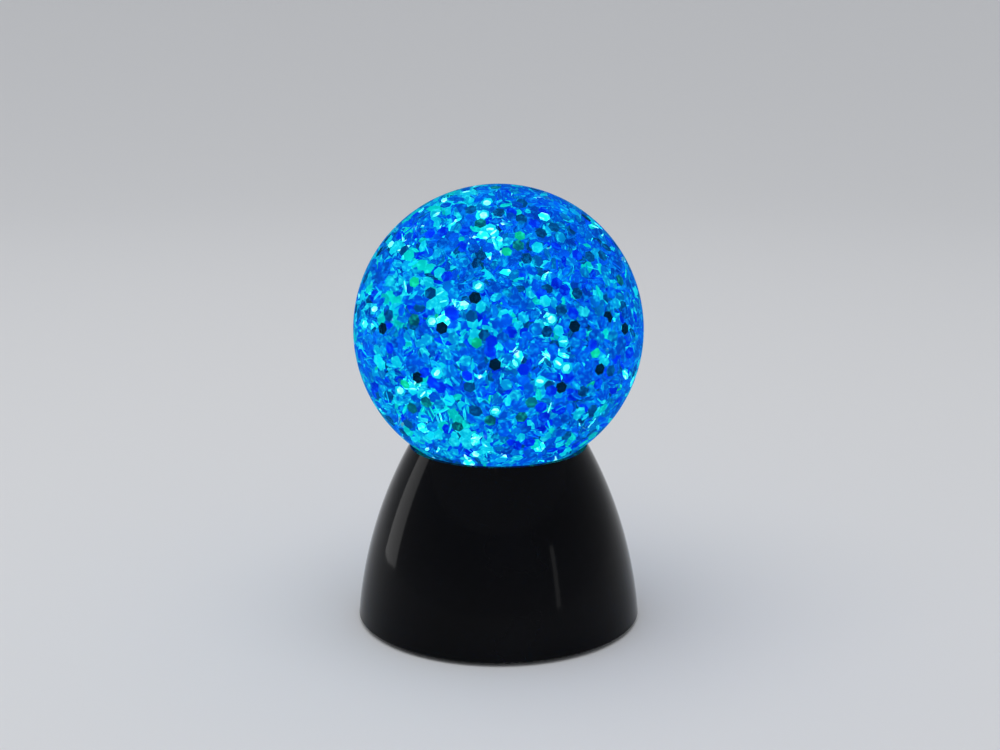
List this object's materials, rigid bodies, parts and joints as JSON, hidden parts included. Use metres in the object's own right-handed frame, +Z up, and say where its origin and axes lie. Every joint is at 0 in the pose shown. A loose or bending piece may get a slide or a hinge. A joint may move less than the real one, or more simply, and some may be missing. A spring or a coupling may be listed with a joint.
{
  "type": "sensory glitter lamp",
  "caption": "Clear liquid-filled globe of glitter flakes on a glossy black domed base, stirred through magnets by a motor and lit from below, with a rear push button.",
  "frame": {"origin": "on the table under the middle of the lamp", "axes": "+Z up along the axis of the globe and the base, +Y towards the rear with the button and the inlet, +X to the right seen from the front"},
  "size_m": [0.09, 0.09, 0.138],
  "materials": {
    "gloss_black": "gloss moulded black",
    "satin_black": "fine textured moulded black",
    "screw_steel": "zinc plated",
    "foot_rubber": "matt",
    "clear_globe": "clear polished",
    "white_plastic": "moulded natural white",
    "magnet_steel": "nickel plated",
    "blue_liquid": "clear, tinted by the lights",
    "glitter": "shiny film that glows in the coloured light",
    "board_green": "solder mask",
    "red_light": "tinted clear, unlit",
    "green_light": "tinted clear, lit",
    "blue_light": "tinted clear, lit",
    "motor_metal": "plated can, average density of a small motor",
    "contact_brass": "tinned",
    "cell_jacket": "plain printed jacket, average density of a cell",
    "contact_nickel": "nickel plated",
    "red_wire": "sleeved",
    "yellow_wire": "sleeved",
    "white_wire": "sleeved"
  },
  "bodies": {
    "lamp_body": {"base_shell": "gloss_black", "bottom_cover": "satin_black", "cover_screws": "screw_steel", "rubber_feet": "foot_rubber", "globe_shell": "clear_globe", "globe_plug": "white_plastic", "plug_seal_ring": "foot_rubber", "neck_nut": "satin_black", "stirrer_pin": "screw_steel", "pin_cap": "white_plastic", "led_board": "board_green", "red_leds": "red_light", "green_leds": "green_light", "blue_leds": "blue_light", "control_chip": "satin_black", "led_board_screws": "screw_steel", "motor_can": "motor_metal", "motor_end_cap": "satin_black", "motor_terminals": "contact_brass", "motor_bracket": "satin_black", "motor_screws": "screw_steel", "bracket_screws": "screw_steel", "power_board": "board_green", "power_board_screws": "screw_steel", "switch_body": "satin_black", "power_inlet": "satin_black", "battery_cells": "cell_jacket", "contact_plates": "contact_nickel", "contact_springs": "contact_nickel", "battery_wires": "red_wire", "motor_wires": "yellow_wire", "led_wires": "white_wire"},
    "glitter_liquid": {"liquid_fill": "blue_liquid", "glitter_flakes": "glitter"},
    "drive_rotor": {"motor_shaft": "screw_steel", "magnet_rotor": "white_plastic", "drive_magnets": "magnet_steel"},
    "stirring_wheel": {"stirrer": "white_plastic", "stirrer_magnets": "magnet_steel"},
    "power_push": {"power_button": "satin_black", "switch_plunger": "white_plastic"},
    "battery_hatch": {"battery_door": "satin_black", "door_screws": "screw_steel"}
  },
  "joints": [
    {"name": "glitter_swirl", "type": "hinge", "parent": "lamp_body", "child": "glitter_liquid", "pos_m": [0, 0, 0.093], "axis": [0, 0, 1], "continuous": true},
    {"name": "drive_spin", "type": "hinge", "parent": "lamp_body", "child": "drive_rotor", "pos_m": [0, 0, 0.037], "axis": [0, 0, 1], "continuous": true},
    {"name": "stirrer_spin", "type": "hinge", "parent": "lamp_body", "child": "stirring_wheel", "pos_m": [0, 0, 0.045], "axis": [0, 0, 1], "continuous": true},
    {"name": "button_press", "type": "slide", "parent": "lamp_body", "child": "power_push", "axis": [0, -1, 0], "range_m": [0, 0.0015], "stiffness_N_per_m": 400},
    {"name": "battery_door_release", "type": "slide", "parent": "lamp_body", "child": "battery_hatch", "axis": [0, 0, -1], "range_m": [0, 0.025]}
  ],
  "couplings": [
    {"joint": "drive_spin", "follows": "glitter_swirl", "ratio": 8},
    {"joint": "stirrer_spin", "follows": "glitter_swirl", "ratio": 8}
  ]
}
